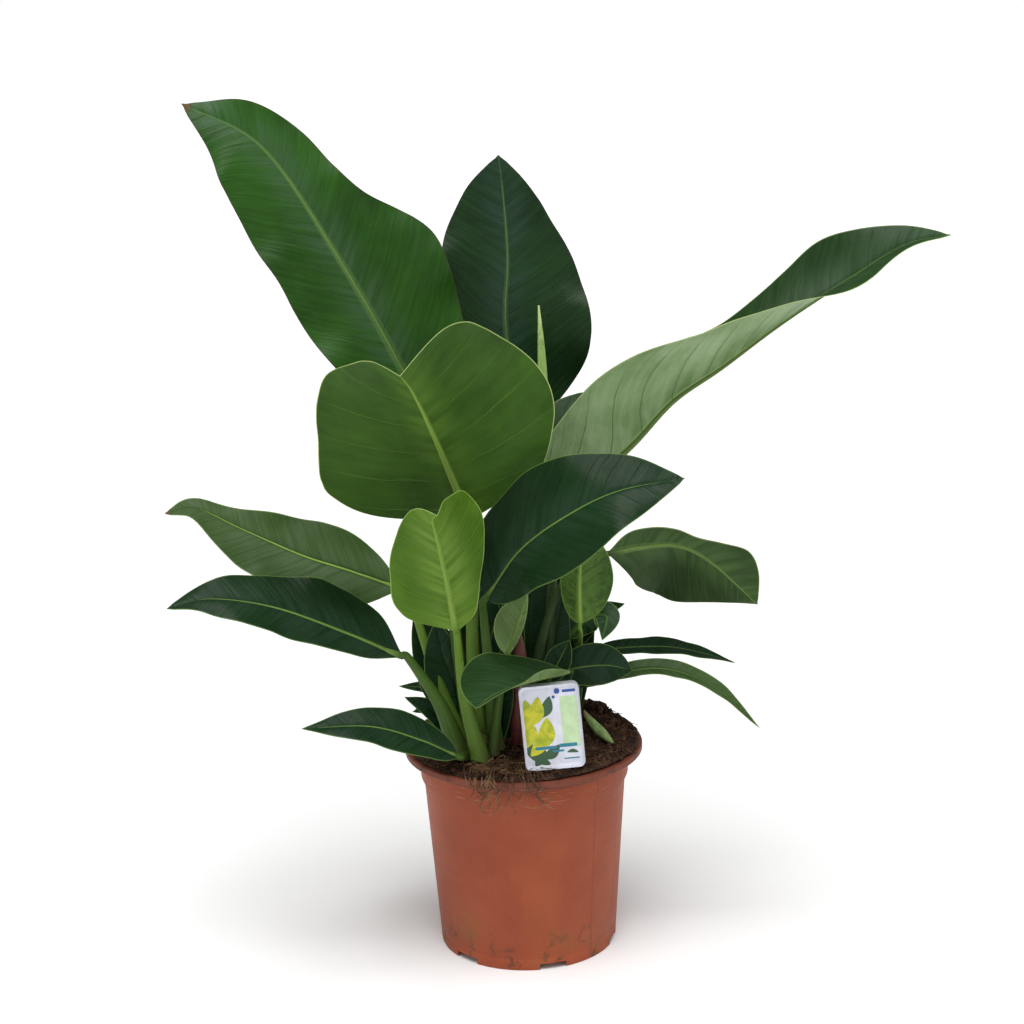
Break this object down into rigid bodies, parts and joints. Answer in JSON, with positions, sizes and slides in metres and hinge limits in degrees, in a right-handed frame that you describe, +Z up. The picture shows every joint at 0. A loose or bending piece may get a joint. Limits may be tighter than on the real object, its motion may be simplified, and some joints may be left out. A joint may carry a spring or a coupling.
{
  "type": "potted philodendron",
  "caption": "Self-heading philodendron with broad pointed leaves on long stalks, growing from soil in a round terracotta-coloured plastic grower's pot with a blank plant label",
  "frame": {"origin": "centre of the pot's foot, on the surface that the pot stands on", "axes": "+Z up along the pot's axis, +X to the right and -Y towards the side that carries the label"},
  "size_m": [0.6215, 0.2606, 0.6744],
  "materials": {
    "pot": "satin",
    "soil": "matte",
    "root": "matte",
    "label": "satin",
    "stem": "matte",
    "leaf_dark": "satin",
    "leaf_mid": "satin",
    "leaf_bright": "satin",
    "stalk": "satin",
    "sheath": "matte",
    "new_leaf": "satin"
  },
  "bodies": {
    "root": {"pot": "pot", "soil": "soil", "label": "label", "stem_front": "stem", "stem_centre": "stem", "stem_right": "stem", "stem_back": "stem", "blade_back_left": "leaf_mid", "stalk_back_left": "stalk", "blade_back_centre": "leaf_dark", "stalk_back_centre": "stalk", "blade_front_large": "leaf_bright", "stalk_front_large": "stalk", "blade_front_small": "leaf_bright", "stalk_front_small": "stalk", "blade_right_long": "leaf_bright", "stalk_right_long": "stalk", "blade_front_dark": "leaf_dark", "stalk_front_dark": "stalk", "blade_front_low": "leaf_dark", "stalk_front_low": "stalk", "blade_left_upper": "leaf_mid", "stalk_left_upper": "stalk", "blade_left_lower": "leaf_dark", "stalk_left_lower": "stalk", "blade_left_lowest": "leaf_dark", "stalk_left_lowest": "stalk", "blade_right_middle": "leaf_bright", "stalk_right_middle": "stalk", "blade_inner_mottled": "leaf_bright", "stalk_inner_mottled": "stalk", "blade_inner_curled": "leaf_dark", "stalk_inner_curled": "stalk", "blade_inner_back": "leaf_dark", "stalk_inner_back": "stalk", "blade_inner_grey": "leaf_mid", "stalk_inner_grey": "stalk", "blade_inner_right": "leaf_dark", "stalk_inner_right": "stalk", "blade_right_upper": "leaf_dark", "stalk_right_upper": "stalk", "blade_right_broad": "leaf_dark", "stalk_right_broad": "stalk", "blade_right_arched": "leaf_mid", "stalk_right_arched": "stalk", "blade_tip_upper": "leaf_dark", "stalk_tip_upper": "stalk", "blade_tip_lower": "leaf_dark", "stalk_tip_lower": "stalk", "new_leaf": "new_leaf", "red_sheath": "sheath", "pale_sheath": "stalk", "root_left": "root", "root_middle": "root", "root_right": "root"}
  },
  "joints": []
}
